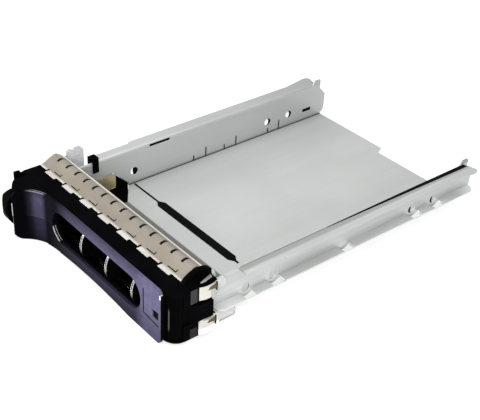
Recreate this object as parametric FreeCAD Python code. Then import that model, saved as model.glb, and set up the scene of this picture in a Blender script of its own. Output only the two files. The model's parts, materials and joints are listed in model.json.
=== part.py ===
import FreeCAD, Part
import os

os.makedirs("parts", exist_ok=True)
V = FreeCAD.Vector

# Disk that the caddy holds, a 3.5 inch drive. All sizes are in mm.
drive_w = 101.6
side_play = 0.8
hole_pitch = 101.6
hole_up = 6.35
hole_shift = 15.0
hole_mid = 41.6
screw_hole_d = 4.2

# Sheet metal tray. While drawing, X 0 is mid bay, Y 0 the front screw hole, Z 0 the top of the floor.
sheet_t = 0.8
bend_in = 0.5
wall_h = 19.0
flange_out = 6.2
flange_front = -19.6
flange_short = 5.6
flange_flare = 2.2
rail_front = -33.0
rail_rear = 128.2
rail_end_r = 5.0
lip_h = 2.0
floor_rear = 125.2
floor_step = 4.6
tab_rows = [40.9, 61.0, 91.0]
tab_w = 7.0
tab_relief = 0.9
tab_relief_h = 5.0
corner_y = -3.5
corner_in = 13.1
stripe_y = -1.0
stripe_wide = 4.6
stripe_line = 0.9
stripe_t = 0.12
runner_z = 5.0
runner_out = 4.9
runner_end = 1.0
relief_r = 3.6

# Bezel.
bezel_over = 7.6
pin_in = 1.6
pin_y = -49.5
plate_r = 7.0
plate_t = 1.6
bezel_rear = -34.4
bezel_low = -3.5
bezel_top = 22.8
foot_bevel = 1.1
gap = 0.4
window_w = 17.2
window_gap = 3.0

# Lever.
barrel_r = 6.0
barrel_play = 0.3
pin_d = 3.0
pin_play = 0.03
face_t = 1.5
face_top = 23.2
face_low = -3.6
face_over = 1.8
face_round = 2.6
end_wall = 0.6
frame_t = 1.6
frame_deep = 7.0
vent_z0 = 3.0
vent_z1 = 18.8
fin_pitch = 19.4
fin_t = 1.1
tooth_z0 = 6.2
tooth_z1 = 14.2
led_w = 4.0

# Grip and button at the left end of the lever.
grip_in = 4.8
grip_long = 24.4
grip_out = 11.4
ridge_z = 9.8
button_travel = 2.0
button_z0 = 1.2
button_z1 = 19.8
button_out = 2.9

# Contact strip along the top.
strip_t = 0.25
finger_pitch = 7.37
strip_end = 7.75
strip_foot_y = -47.2
strip_peak_y = -39.4
strip_peak_z = 26.4
slit_w = 0.9
foot_w = 7.7

bay_half = drive_w / 2 + side_play
flange_rear = rail_rear - flange_short
web_out = bay_half + sheet_t
flange_x = web_out + flange_out
runner_x = web_out + runner_out
bezel_left = -(bay_half + bezel_over)
pin_x = bay_half - pin_in
plate_front = pin_y - plate_r
cheek_x = pin_x + plate_r
face_y = plate_front - gap - face_t
arm_y0 = face_y + face_t
arm_y1 = arm_y0 + frame_deep
arm_low = bezel_low + plate_t + gap
arm_top = bezel_top - plate_t - gap
face_right = pin_x + face_over
grip_left = bezel_left + grip_in
grip_right = grip_left + grip_long
mid_z = (bezel_low + face_top) / 2
screw_rows = [-hole_shift, 0.0, hole_pitch - hole_shift, hole_pitch]


def box(x0, x1, y0, y1, z0, z1):
    return Part.makeBox(x1 - x0, y1 - y0, z1 - z0, V(x0, y0, z0))


def cyl(r, h, base, axis):
    return Part.makeCylinder(r, h, V(*base), V(*axis))


def spot(axis, a, b, along):
    # A point of an outline, which is given in the two axes that its extrusion doesn't follow.
    places = {"x": V(along, a, b), "y": V(a, along, b), "z": V(a, b, along)}
    return places[axis]


def outline_face(steps, axis, start):
    # A closed outline. A step is a corner (a, b), or an arc's middle and end (a, b, c, d).
    first = spot(axis, steps[0][0], steps[0][1], start)
    here = first
    edges = []
    for step in steps[1:] + [steps[0]]:
        there = spot(axis, step[-2], step[-1], start)
        if len(step) == 4:
            middle = spot(axis, step[0], step[1], start)
            edges.append(Part.Arc(here, middle, there).toShape())
        elif there.sub(here).Length > 0:
            edges.append(Part.LineSegment(here, there).toShape())
        here = there
    return Part.Face(Part.Wire(edges))


def outline_solid(steps, axis, start, length):
    way = {"x": V(length, 0, 0), "y": V(0, length, 0), "z": V(0, 0, length)}
    return outline_face(steps, axis, start).extrude(way[axis])


def straight_edges(shape, axis, spots, tol=0.05):
    # The straight edges along an axis that pass through one of the spots, given in the two other axes.
    found = []
    for edge in shape.Edges:
        if len(edge.Vertexes) != 2:
            continue
        a = edge.Vertexes[0].Point
        b = edge.Vertexes[1].Point
        run = b.sub(a)
        across = {"x": (run.y, run.z), "y": (run.x, run.z), "z": (run.x, run.y)}[axis]
        here = {"x": (a.y, a.z), "y": (a.x, a.z), "z": (a.x, a.y)}[axis]
        if max(abs(across[0]), abs(across[1])) > tol:
            continue
        if any(abs(here[0] - s[0]) < tol and abs(here[1] - s[1]) < tol for s in spots):
            found.append(edge)
    return found


def rounded(shape, axis, spots, radius):
    return shape.makeFillet(radius, straight_edges(shape, axis, spots))


def stadium(x0, x1, z0, z1, y, depth):
    r = (z1 - z0) / 2
    middle = (z0 + z1) / 2
    left = cyl(r, depth, (x0 + r, y, middle), (0, 1, 0))
    right = cyl(r, depth, (x1 - r, y, middle), (0, 1, 0))
    body = box(x0 + r, x1 - r, y, y + depth, z0, z1)
    return body.fuse([left, right]).removeSplitter()


def mirrored(shape):
    return shape.mirror(V(0, 0, 0), V(1, 0, 0))


pieces = {}

# Floor of the tray: one sheet with a stepped rear edge, side tabs and an open corner at the left front.
floor_front = bezel_rear - 7.6
floor_right = pin_x - 14.0
floor_rear_right = floor_rear - floor_step
step_x = -2.5
corner_x = -bay_half + corner_in
corner_slant = corner_in * 0.72
floor = outline_solid([
    (corner_x, rail_front), (corner_x, floor_front), (floor_right, floor_front), (floor_right, rail_front),
    (bay_half, rail_front), (bay_half, floor_rear_right), (step_x + 1.0, floor_rear_right),
    (step_x - 1.0, floor_rear), (-bay_half, floor_rear), (-bay_half, corner_y),
    (corner_x, corner_y - corner_slant),
], "z", -sheet_t, sheet_t)
tabs = []
for row in tab_rows:
    tabs.append(box(-web_out, 1.0 - bay_half, row - tab_w / 2, row + tab_w / 2, -sheet_t, 0))
    tabs.append(box(bay_half - 1.0, web_out, row - tab_w / 2, row + tab_w / 2, -sheet_t, 0))
floor = floor.fuse(tabs).removeSplitter()
screw_x = (-bay_half + 17.6, bay_half - 23.6)
floor_screw_y = bezel_rear - 4.3
floor_screw_d = 2.5
screw_play = 0.25
for x in screw_x:
    low_spot = (x, floor_screw_y, -1.5 * sheet_t)
    floor = floor.cut(cyl(floor_screw_d / 2 + screw_play, 2 * sheet_t, low_spot, (0, 0, 1)))
pieces["tray_floor"] = floor

# Black position stripe with pointed ends, painted on the floor.
stripe_left = -bay_half + 21.4
stripe_right = bay_half - 25.4
stripe_tip = 3.0
stripe_start = 1.6 - bay_half
stripe_end = stripe_right + 1.6 * stripe_tip
thin_0 = stripe_y - stripe_line / 2
thin_1 = stripe_y + stripe_line / 2
wide_0 = stripe_y - stripe_wide / 2
wide_1 = stripe_y + stripe_wide / 2
pieces["position_stripe"] = outline_solid([
    (stripe_start, thin_0), (stripe_left, thin_0), (stripe_left + stripe_tip, wide_0), (stripe_right, wide_0),
    (stripe_right + stripe_tip, thin_0), (stripe_end, thin_0), (stripe_end, thin_1),
    (stripe_right + stripe_tip, thin_1), (stripe_right, wide_1), (stripe_left + stripe_tip, wide_1),
    (stripe_left, thin_1), (stripe_start, thin_1),
], "z", 0, stripe_t)


def rail_blank():
    # Web and outward top flange in one bent strip.
    strip = outline_solid([
        (bay_half, -sheet_t), (web_out, -sheet_t), (web_out, wall_h - sheet_t),
        (flange_x, wall_h - sheet_t), (flange_x, wall_h), (bay_half, wall_h),
    ], "y", rail_front, rail_rear - rail_front)
    strip = rounded(strip, "y", [(bay_half, wall_h)], bend_in + sheet_t)
    strip = rounded(strip, "y", [(web_out, wall_h - sheet_t)], bend_in)
    # The flange starts behind the bezel, is narrower at first, and flares towards its rear end.
    narrow = 1.2
    flare_y = flange_rear - 17.0
    flange_cut = box(web_out, flange_x + 1, rail_front - 1, flange_front, wall_h - 3, wall_h + 1)
    step_cut = box(flange_x - narrow, flange_x + 1, flange_front - 1, 1.2, wall_h - 2, wall_h + 1)
    rear_cut = box(web_out, flange_x + 1, flange_rear - 1.5, rail_rear + 1, wall_h - 3, wall_h + 1)
    strip = strip.cut(flange_cut.fuse([step_cut, rear_cut]))
    flare = outline_solid([
        (web_out + 1, flare_y), (flange_x, flare_y), (flange_x + flange_flare, flange_rear - 4.0),
        (flange_x + flange_flare * 0.8, flange_rear - 1.2, flange_x + flange_flare * 0.3, flange_rear),
        (web_out + 1, flange_rear - 1.5),
    ], "z", wall_h - sheet_t, sheet_t)
    # The web ends with a raised lip, a slanted step and a round lower corner.
    lip_y = flange_rear + 1.5
    end = outline_solid([
        (lip_y - 6.5, wall_h - 2.0), (lip_y - 4.0, wall_h + lip_h), (lip_y - 0.4, wall_h + lip_h),
        (lip_y, wall_h + lip_h - 0.6), (lip_y, wall_h - 3.0),
    ], "x", bay_half, sheet_t)
    top_cut = outline_solid([
        (lip_y, wall_h + 1), (lip_y, wall_h - 3.0), (rail_rear, wall_h - 7.5), (rail_rear + 1, wall_h - 7.5),
        (rail_rear + 1, wall_h + 1),
    ], "x", bay_half - 1, sheet_t + 2)
    low_box = box(bay_half - 1, web_out + 1, rail_rear - rail_end_r, rail_rear + 1, -2, rail_end_r - sheet_t)
    disc_spot = (bay_half - 2, rail_rear - rail_end_r, rail_end_r - sheet_t)
    low_disc = cyl(rail_end_r, sheet_t + 4, disc_spot, (1, 0, 0))
    strip = strip.cut(top_cut.fuse(low_box.cut(low_disc)))
    return strip.fuse([flare, end]).removeSplitter()


def side_rail(is_left):
    strip = rail_blank()
    cuts = []
    for row in screw_rows[1:] if is_left else screw_rows:
        cuts.append(cyl(screw_hole_d / 2, sheet_t + 2, (bay_half - 1, row, hole_up), (1, 0, 0)))
    for row in tab_rows:
        y0 = row - tab_w / 2
        y1 = row + tab_w / 2
        cuts.append(box(bay_half - 1, web_out + 1, y0, y1, -2, 0))
        cuts.append(box(bay_half - 1, web_out + 1, y0 - tab_relief, y0, -2, tab_relief_h / 2))
        cuts.append(box(bay_half - 1, web_out + 1, y1, y1 + tab_relief, -2, tab_relief_h))
    if is_left:
        # Slots at the fold and near the rear, and the slanted opening that shows the earth spring.
        slot_y = 9.3
        cuts.append(box(bay_half - 1, web_out + 1, slot_y, slot_y + 12.3, wall_h - 2.1, wall_h - sheet_t))
        cuts.append(box(bay_half - 1, web_out + 1, rail_rear - 16.2, rail_rear - 10.2, 4.2, 6.2))
        cuts.append(outline_solid([
            (corner_y - 14.5, -2), (corner_y - 14.5, 9.6), (corner_y - 9.0, 9.6), (corner_y, 1.0),
            (corner_y, -2),
        ], "x", bay_half - 1, sheet_t + 2))
    return strip.cut(cuts)


pieces["right_rail"] = side_rail(False)
pieces["left_rail"] = mirrored(side_rail(True))


def side_runner():
    # Outward runner flange below the groove, notched under each screw.
    runner_rear = rail_rear - runner_end
    foot = 0.2
    run = outline_solid([
        (web_out, foot), (web_out + sheet_t, foot), (web_out + sheet_t, runner_z - sheet_t),
        (runner_x, runner_z - sheet_t), (runner_x, runner_z), (web_out, runner_z),
    ], "y", rail_front, runner_rear - rail_front)
    run = rounded(run, "y", [(web_out + sheet_t, runner_z - sheet_t)], bend_in)
    bevel = 2.6
    front = outline_solid([(runner_x - bevel, rail_front - 1), (runner_x + 1, rail_front - 1),
                           (runner_x + 1, rail_front + bevel), (runner_x, rail_front + bevel)],
                          "z", foot - 1, runner_z + 1)
    rear = outline_solid([(runner_x + 1, runner_rear - bevel), (runner_x + 1, runner_rear + 1),
                          (runner_x - bevel, runner_rear + 1), (runner_x - bevel, runner_rear),
                          (runner_x, runner_rear - bevel)], "z", foot - 1, runner_z + 1)
    notches = [cyl(relief_r, runner_out + 2, (web_out - 1, row, hole_up), (1, 0, 0))
               for row in screw_rows + [hole_mid]]
    return run.cut([front, rear] + notches)


pieces["right_runner"] = side_runner()
pieces["left_runner"] = mirrored(side_runner())

# Bowed earth spring on the inside of the left rail, in the slanted opening.
leaf_t = 0.25
leaf_bow = 0.35
leaf_z = 1.2
leaf_h = 7.6
leaf_x = -bay_half
leaf_y0 = corner_y - 15.0
leaf_y1 = corner_y - 7.6
leaf_mid = (leaf_y0 + leaf_y1) / 2
leaf_foot_y = leaf_y0 - 3.0
pieces["earth_spring"] = outline_solid([
    (leaf_x, leaf_foot_y), (leaf_x, leaf_y0), (leaf_x + leaf_bow, leaf_mid, leaf_x, leaf_y1),
    (leaf_x + leaf_t, leaf_y1), (leaf_x + leaf_t + leaf_bow, leaf_mid, leaf_x + leaf_t, leaf_y0),
    (leaf_x + leaf_t, leaf_foot_y),
], "z", leaf_z, leaf_h)


def plate(z0, z1):
    # A bezel plate with its round end about the lever pin.
    flat = box(bezel_left, pin_x, plate_front, bezel_rear, z0, z1)
    back = box(pin_x, cheek_x, pin_y, bezel_rear, z0, z1)
    nose = cyl(plate_r, z1 - z0, (pin_x, pin_y, z0), (0, 0, 1))
    return flat.fuse([back, nose]).removeSplitter()


def hugging_wall(z0, z1):
    # Right cheek, whose front part follows the round end of the plates just clear of the barrel.
    outer = plate(z0, z1).common(box(cheek_x - 3.0, cheek_x + 1, pin_y - 1.0, bezel_rear, z0, z1))
    inner = box(cheek_x - 4.0, cheek_x - plate_t, pin_y + 4.0, bezel_rear + 1, z0 - 1, z1 + 1)
    round_room = cyl(barrel_r + barrel_play, z1 - z0 + 2, (pin_x, pin_y, z0 - 1), (0, 0, 1))
    return outer.cut(inner.fuse(round_room))


# Bezel: two plates, cheeks, a rear wall with windows, and the tongue under the open corner of the floor.
inner_low = bezel_low + plate_t
inner_top = bezel_top - plate_t
tooth_room = 0.8
wall_t = 1.6
top_plate = plate(inner_top, bezel_top)
top_plate = rounded(top_plate, "x", [(plate_front, bezel_top)], 0.5)
low_plate = plate(bezel_low, inner_low)
low_plate = low_plate.makeChamfer(foot_bevel, straight_edges(low_plate, "x", [(plate_front, bezel_low)]))
low_cheek = hugging_wall(inner_low, tooth_z0 - tooth_room)
top_cheek = hugging_wall(tooth_z1 + tooth_room, inner_top)
left_cheek = box(bezel_left, bezel_left + wall_t, plate_front, bezel_rear, inner_low, inner_top)
rear_wall = box(bezel_left, floor_right, bezel_rear - wall_t, bezel_rear, 0.0, inner_top)
window_x0 = bezel_left + 13.2
window_count = int((floor_right - 4.0 + window_gap - window_x0) / (window_w + window_gap))
windows = []
for i in range(window_count):
    x0 = window_x0 + i * (window_w + window_gap)
    windows.append(stadium(x0, x0 + window_w, 4.0, 17.0, bezel_rear - 3, 5))
rear_wall = rear_wall.cut(windows)
seat = box(window_x0, floor_right + 1.0, floor_front - 0.6, bezel_rear, bezel_low, -sheet_t)
tongue_top = bezel_low + 2.2
lug_x = -web_out + 0.1
under_tongue = box(lug_x - 2.0, corner_x + 2.0, bezel_rear - 1.0, corner_y - 2.0, bezel_low, tongue_top)
# A lug on the tongue fills the rear half of the opening in the left rail.
lug_y = leaf_y1 + 0.3
lug = outline_solid([
    (lug_y, bezel_low), (lug_y, 7.5), (corner_y - 0.8, 1.3), (corner_y - 0.4, 0.9),
    (corner_y - 0.4, bezel_low),
], "x", lug_x, sheet_t - 0.1)
lug_foot = box(lug_x, corner_x, lug_y, corner_y - 2.0, bezel_low, tongue_top)
side_leg = box(bezel_left, -bay_half, bezel_rear - wall_t, bezel_rear, inner_low, inner_top)
# Keeper hook at the left front corner, which the button's catch locks behind.
hook_y = plate_front - 4.8
keeper = outline_solid([
    (plate_front, 12.0), (hook_y + 1.2, 15.6), (hook_y, 17.2), (hook_y, bezel_top + 1.2),
    (hook_y + 2.9, bezel_top + 1.0), (hook_y + 2.9, bezel_top - 0.2), (plate_front + 1.0, bezel_top - 0.4),
    (plate_front + 1.0, 12.0),
], "x", bezel_left, 1.2)
# Ears beside the rails, which carry the rivets, and a hook over the left rail.
ear_t = 2.6
ear_left = box(-web_out - ear_t, -web_out, bezel_rear - 1, -23.4, 8.0, 17.0)
hook_y0 = -23.8
hook_y1 = -20.6
over_y = box(-web_out - ear_t, -web_out - 0.05, hook_y0 - 0.6, hook_y1, 10.0, wall_h + 2.4)
over_top = box(-web_out - ear_t, -bay_half + 0.7, hook_y0, hook_y1, wall_h + 0.1, wall_h + 2.4)
over_in = box(-bay_half + 0.1, -bay_half + 0.7, hook_y0, hook_y1, wall_h - 5.6, wall_h + 2.4)
ear_z0 = tooth_z1 + 1.2
ear_z1 = wall_h - 0.4
ear_right = box(web_out, web_out + ear_t, pin_y + 9.0, bezel_rear + 6.4, ear_z0, ear_z1)
ear_link = box(web_out + 1, cheek_x - 0.5, pin_y + 9.0, bezel_rear, ear_z0, ear_z1)
tongue_t = 0.8
tongue_x = bezel_left + 0.6
tongue_pad = box(tongue_x + tongue_t, -web_out - ear_t, bezel_rear - 1, bezel_rear + 4.4, 10.0, 17.0)
# Arched end rib that closes the right end of the contact strip.
strip_left = bezel_left + 0.2
strip_right = bay_half - 1.2
strip_long = strip_right - strip_left
rib_x = strip_right + 0.1
rib_rear = bezel_rear + 3.0
end_rib = outline_solid([
    (strip_foot_y - 0.3, bezel_top - 0.3), (strip_foot_y - 0.3, bezel_top + 0.4),
    (strip_peak_y - 4.2, strip_peak_z - 0.4, strip_peak_y + 1.4, strip_peak_z + 0.15),
    (rib_rear - 2.4, strip_peak_z - 1.6, rib_rear - 0.2, wall_h + 1.4), (rib_rear - 0.4, wall_h + 0.4),
    (bezel_rear, wall_h + 0.4), (bezel_rear, bezel_top - 0.3),
], "x", rib_x, 2.1)
bezel = top_plate.fuse([
    low_plate, low_cheek, top_cheek, left_cheek, rear_wall, seat, under_tongue, lug, lug_foot, side_leg,
    keeper, ear_left, over_y, over_top, over_in, ear_right, ear_link, tongue_pad, end_rib,
])
bezel = bezel.removeSplitter()
cuts = [cyl(pin_d / 2, bezel_top - bezel_low + 0.3, (pin_x, pin_y, bezel_low - 1), (0, 0, 1))]
screw_deep = 2.4
for x in screw_x:
    cuts.append(cyl(floor_screw_d / 2, screw_deep, (x, floor_screw_y, -sheet_t - screw_deep), (0, 0, 1)))
keeper_slot_y = pin_y - 6.1
cuts.append(box(bezel_left - 1, bezel_left + wall_t + 1, keeper_slot_y, keeper_slot_y + 3.4, 7.0, 13.0))
pieces["bezel_frame"] = bezel.cut(cuts)


def floor_screw(x):
    head_r = 2.3
    deep = screw_deep - 0.2
    turned = outline_face([
        (0, -sheet_t - deep), (floor_screw_d / 2, -sheet_t - deep), (floor_screw_d / 2, 0), (head_r, 0),
        (head_r, 0.9), (head_r * 0.7, 1.5), (0, 1.5),
    ], "y", 0)
    screw = turned.revolve(V(0, 0, 0), V(0, 0, 1), 360)
    cross = box(-1.3, 1.3, -0.3, 0.3, 0.8, 2).fuse(box(-0.3, 0.3, -1.3, 1.3, 0.8, 2))
    screw = screw.cut(cross)
    screw.translate(V(x, floor_screw_y, 0))
    return screw


pieces["floor_screw_left"] = floor_screw(screw_x[0])
pieces["floor_screw_right"] = floor_screw(screw_x[1])

# Rivets through the rails and the bezel's ears.
rivet_d = 3.0
rivet_grip = sheet_t + 1.8


def rivet(side, y, z):
    head_r = 2.6
    head_t = 0.55
    turned = outline_face([
        (bay_half - head_t, 0), (bay_half - head_t, head_r * 0.6), (bay_half, head_r),
        (bay_half, rivet_d / 2), (bay_half + rivet_grip, rivet_d / 2), (bay_half + rivet_grip, 0),
    ], "z", 0)
    one = turned.revolve(V(0, 0, 0), V(1, 0, 0), 360)
    one.translate(V(0, y, z))
    return mirrored(one) if side < 0 else one


rivet_spots = {"left": (-1, -27.4, 13.0), "right": (1, bezel_rear + 3.8, 16.5)}
for side_name, (side, y, z) in rivet_spots.items():
    bore = cyl(rivet_d / 2, rivet_grip + 1, (bay_half - 1, y, z), (1, 0, 0))
    bore = mirrored(bore) if side < 0 else bore
    pieces[side_name + "_rail"] = pieces[side_name + "_rail"].cut(bore)
    pieces["bezel_frame"] = pieces["bezel_frame"].cut(bore)
    pieces["rivet_" + side_name] = rivet(side, y, z)

# Lever pin, pressed into both bezel plates.
pieces["lever_pin"] = cyl(pin_d / 2, bezel_top - bezel_low - 0.9, (pin_x, pin_y, bezel_low + 0.2), (0, 0, 1))

# Grip seen from above: hollow finger face, crest, rounded corner behind it, straight left side.
crest_x = grip_left + 7.6
crest_y = face_y - grip_out


def grip_outline(move_x, move_y):
    steps = [
        (grip_right, face_y), (grip_left + 14.6, face_y - 3.0, crest_x, crest_y),
        (grip_left + 4.2, face_y - grip_out + 1.9, grip_left, face_y - grip_out + 6.4),
        (grip_left, arm_y0), (grip_right, arm_y0),
    ]
    return [tuple(v + (move_x, move_y)[i % 2] for i, v in enumerate(step)) for step in steps]


def grip_solid(z0, z1, move_x=0, move_y=0):
    return outline_solid(grip_outline(move_x, move_y), "z", z0, z1 - z0)


# Seen from the side, the grip is rounded over towards its crest.
swell = outline_solid([
    (arm_y0 + 1, face_low), (face_y - 5.0, face_low),
    (face_y - grip_out + 1.4, face_low + 1.5, crest_y - 0.01, face_low + 5.2),
    (crest_y - 0.01, face_top - 6.0), (face_y - grip_out + 1.2, face_top - 2.0, face_y - 7.0, face_top),
    (arm_y0 + 1, face_top),
], "x", grip_left - 1, grip_long + 1)
grip = grip_solid(face_low, face_top).common(swell)

# The purple face is a skin on the finger side. Its lower half lies a little deeper.
skin = grip.cut(grip_solid(face_low - 1, face_top + 1, -0.58 * face_t, 0.74 * face_t))
skin = skin.cut(box(grip_left - 1, crest_x - 0.6, crest_y - 1, arm_y0 + 1, face_low - 1, face_top + 1))
lower_step = grip.cut(grip_solid(face_low - 1, face_top + 1, -0.2, 0.3))
lower_step = lower_step.common(box(grip_left - 1, grip_right - 5.0, crest_y - 1, arm_y0 + 1,
                                   face_low - 1, ridge_z))
skin = skin.cut(lower_step)
face_flat = outline_solid([
    (grip_right, face_low), (grip_right + 26.0, face_low + 1.7, face_right - 22.0, face_low),
    (face_right - face_round, face_low),
    (face_right - 0.3 * face_round, face_low + 0.3 * face_round, face_right, face_low + face_round),
    (face_right, face_top - face_round),
    (face_right - 0.3 * face_round, face_top - 0.3 * face_round, face_right - face_round, face_top),
    (grip_right, face_top),
], "y", face_y, face_t)
face_flat = face_flat.cut(box(face_right - end_wall, face_right + 1, face_y + 0.15, arm_y0 + 1,
                              face_low, face_top))
vent_x0 = grip_left + 23.4
vent_x1 = face_right - 13.8
led_x = face_right - 5.4
led_z0 = 7.9
cut_depth = 0.5
groove_w = 0.8
groove_x = led_x - 6.8
groove_z = led_z0 - 2.1
fascia = skin.fuse(face_flat).removeSplitter()
fascia = fascia.cut([
    stadium(vent_x0, vent_x1, vent_z0, vent_z1, face_y - 1, face_t + 2),
    box(led_x, led_x + led_w, face_y - 1, arm_y0 + 1, led_z0, led_z0 + led_w),
    box(groove_x, groove_x + groove_w, face_y - 1, face_y + cut_depth, groove_z + 0.9, face_top - 4.8),
    outline_solid([(groove_x, groove_z + groove_w), (groove_x, groove_z), (led_x + led_w, groove_z - 1.2),
                   (led_x + led_w, groove_z - 1.2 + groove_w)], "y", face_y - 1, 1 + cut_depth),
])
pieces["lever_face"] = fascia

# Lens behind the square window.
pieces["status_lens"] = box(led_x, led_x + led_w, face_y + cut_depth, arm_y0, led_z0, led_z0 + led_w)

# Lever frame: C shaped bar, barrel about the pin, hook tooth, end wall and hollow grip.
bar = box(grip_left, pin_x, arm_y0, arm_y1, arm_low, arm_top)
bar = bar.cut(box(grip_left + frame_t, pin_x - barrel_r, arm_y0 + frame_t, arm_y1 + 1,
                  arm_low + frame_t, arm_top - frame_t))
barrel = cyl(barrel_r, arm_top - arm_low, (pin_x, pin_y, arm_low), (0, 0, 1))
barrel_fill = box(pin_x - barrel_r, pin_x, arm_y0, arm_y1, arm_low, arm_top)
end_link = box(pin_x - 1, face_right, arm_y0, arm_y0 + 0.45, arm_low, arm_top)
end_side = box(face_right - end_wall, face_right, face_y + 0.15, arm_y0 + 0.45, arm_low, arm_top)
tooth = outline_solid([
    (pin_x + 1.0, pin_y + 2.0), (pin_x + 5.8, pin_y + 0.6), (pin_x + 8.2, pin_y + 4.2),
    (pin_x + 8.6, pin_y + 12.4), (pin_x + 6.0, pin_y + 12.8), (pin_x + 4.2, pin_y + 6.6),
], "z", tooth_z0, tooth_z1 - tooth_z0)
tooth = rounded(tooth, "z", [(pin_x + 8.2, pin_y + 4.2), (pin_x + 4.2, pin_y + 6.6)], 1.0)
frame = bar.fuse([barrel, barrel_fill, end_link, end_side, tooth]).removeSplitter()
back_vent = stadium(vent_x0 + 0.6, vent_x1 - 0.6, vent_z0 + 0.6, vent_z1 - 0.6, arm_y0 - 1, frame_t + 2)
frame = frame.cut(back_vent)
core_right = grip_right - 1.5
core = grip_solid(face_low, face_top, -0.75 * face_t, 0.95 * face_t).common(grip)
core = core.common(box(grip_left, core_right, crest_y - 1, arm_y0, face_low, face_top))
hollow = grip_solid(face_low + frame_t, face_top - frame_t, -1.6 * frame_t, 1.7 * frame_t)
hollow = hollow.common(box(grip_left + frame_t, grip_right - 3.5, crest_y, arm_y0, face_low + frame_t,
                           face_top - frame_t))
frame = frame.fuse(core.cut(hollow)).removeSplitter()
# The grip's hollow opens into the bar, and its left front corner is open for the button.
way_in = box(grip_left + frame_t, grip_right - 3.5, arm_y0 - 1, arm_y0 + frame_t + 1, arm_low + frame_t + 1.0,
             arm_top - frame_t - 1.0)
button_right = crest_x - 3.6
button_y1 = face_y - 0.6
corner_room = box(grip_left - 1, button_right + button_travel + gap, crest_y - 1, button_y1 + gap,
                  button_z0 - gap, button_z1 + gap)
nose_y = pin_y - 5.1
nose_room = box(grip_left - 1, grip_left + frame_t + 0.5, nose_y - 1.9, arm_y1 + 0.1, 6.0, 13.6)
pin_hole = cyl(pin_d / 2 + pin_play, arm_top - arm_low + 2, (pin_x, pin_y, arm_low - 1), (0, 0, 1))
spring_r = 3.4
spring_wire = 0.35
pocket_h = 6.0
pocket = cyl(spring_r + 0.9, pocket_h, (pin_x, pin_y, arm_low), (0, 0, 1))
frame = frame.cut([way_in, corner_room, nose_room, pin_hole, pocket])
spring_x = grip_left + 10.6
spring_y = face_y + 0.8
rib_t = 1.6
rib = box(spring_x, spring_x + rib_t, spring_y - 4.5, arm_y0, face_low + frame_t - 0.1,
          face_top - frame_t + 0.1)
rib_in_bar = box(spring_x, spring_x + rib_t, arm_y0 - 0.2, arm_y0 + frame_t + 0.6, arm_low + frame_t,
                 arm_top - frame_t)
frame = frame.fuse([rib.common(core), rib_in_bar]).removeSplitter()
pieces["lever_frame"] = frame

# Vent fins: upright blades with arched front edges between two rails.
fin_back = arm_y1 - 0.6
fin_top = arm_top - frame_t
fin_low = arm_low + frame_t
fin_root = arm_y0 + 4.4
rail_deep = 1.2
rail_high = 2.2
rail_y = fin_back - rail_deep
grille = box(vent_x0 - 1.0, vent_x1 + 1.0, rail_y, fin_back, fin_low, fin_low + rail_high)
grille = grille.fuse(box(vent_x0 - 1.0, vent_x1 + 1.0, rail_y, fin_back, fin_top - rail_high, fin_top))
clear_way = stadium(vent_x0 + 0.9, vent_x1 - 0.9, vent_z0 + 0.9, vent_z1 - 0.9, face_y - 1,
                    face_t + frame_t + 1.5)
clear_way = clear_way.fuse(box(vent_x0, vent_x1, arm_y0 + frame_t, fin_back + 1, fin_low, fin_top))
fin_first = vent_x0 + 22.4
fin_count = int((vent_x1 - 6.0 - fin_first) / fin_pitch) + 1
for i in range(fin_count):
    blade = outline_solid([
        (fin_root, fin_low), (face_y + 0.4, mid_z - 1.0, fin_root, fin_top), (fin_back, fin_top),
        (fin_back, fin_low),
    ], "x", fin_first + i * fin_pitch, fin_t)
    grille = grille.fuse(blade.common(clear_way))
pieces["vent_grille"] = grille.removeSplitter()

# Release button: a domed pad at the left front corner with a stem, a spring spigot and a catch nose.
pad_x0 = grip_left - button_out
pad_mid_z = (button_z0 + button_z1) / 2
pad_y0 = crest_y - 0.3
inner_x = grip_left + frame_t + gap
pad = outline_solid([
    (button_right, pad_y0), (grip_left + 0.2, crest_y - 0.9, pad_x0 + 1.1, crest_y + 3.0),
    (pad_x0, crest_y + 6.0, pad_x0 + 0.4, button_y1), (inner_x, button_y1), (inner_x, crest_y + 5.4),
    (button_right, crest_y + 2.4),
], "z", button_z0, button_z1 - button_z0)
dome_y = outline_solid([
    (button_y1 + 1, button_z0), (crest_y + 3.4, button_z0),
    (crest_y - 1.0, pad_mid_z, crest_y + 3.4, button_z1), (button_y1 + 1, button_z1),
], "x", pad_x0 - 1, crest_x - pad_x0 + 2)
dome_x = outline_solid([
    (inner_x + 4.0, button_z0), (grip_left + 1.2, button_z0),
    (pad_x0, pad_mid_z, grip_left + 1.2, button_z1), (inner_x + 4.0, button_z1),
], "y", pad_y0 - 3, button_y1 - pad_y0 + 6)
pad = pad.common(dome_y).common(dome_x)
stem_t = 1.6
stem_x = inner_x + stem_t
stem_z0 = 7.4
stem_h = 5.2
stem = box(inner_x, stem_x, button_y1 - 4.0, nose_y + 2.0, stem_z0, stem_z0 + stem_h)
nose_x = bezel_left + wall_t + 0.35
nose = outline_solid([
    (stem_x, nose_y), (stem_x, nose_y + 2.0), (nose_x, nose_y + 2.0), (nose_x, nose_y + 1.2),
    (nose_x + 0.85, nose_y),
], "z", stem_z0, stem_h)
spigot = cyl(1.0, 2.0, (stem_x, spring_y, pad_mid_z), (1, 0, 0))
pieces["release_button"] = pad.fuse([stem, nose, spigot]).removeSplitter()


def coil(radius, wire_r, pitch, height):
    helix = Part.makeHelix(pitch, height, radius)
    ring = Part.Wire([Part.makeCircle(wire_r, V(radius, 0, 0), V(0, 1, 0))])
    return Part.Wire(helix.Edges).makePipeShell([ring], True, True)


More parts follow.
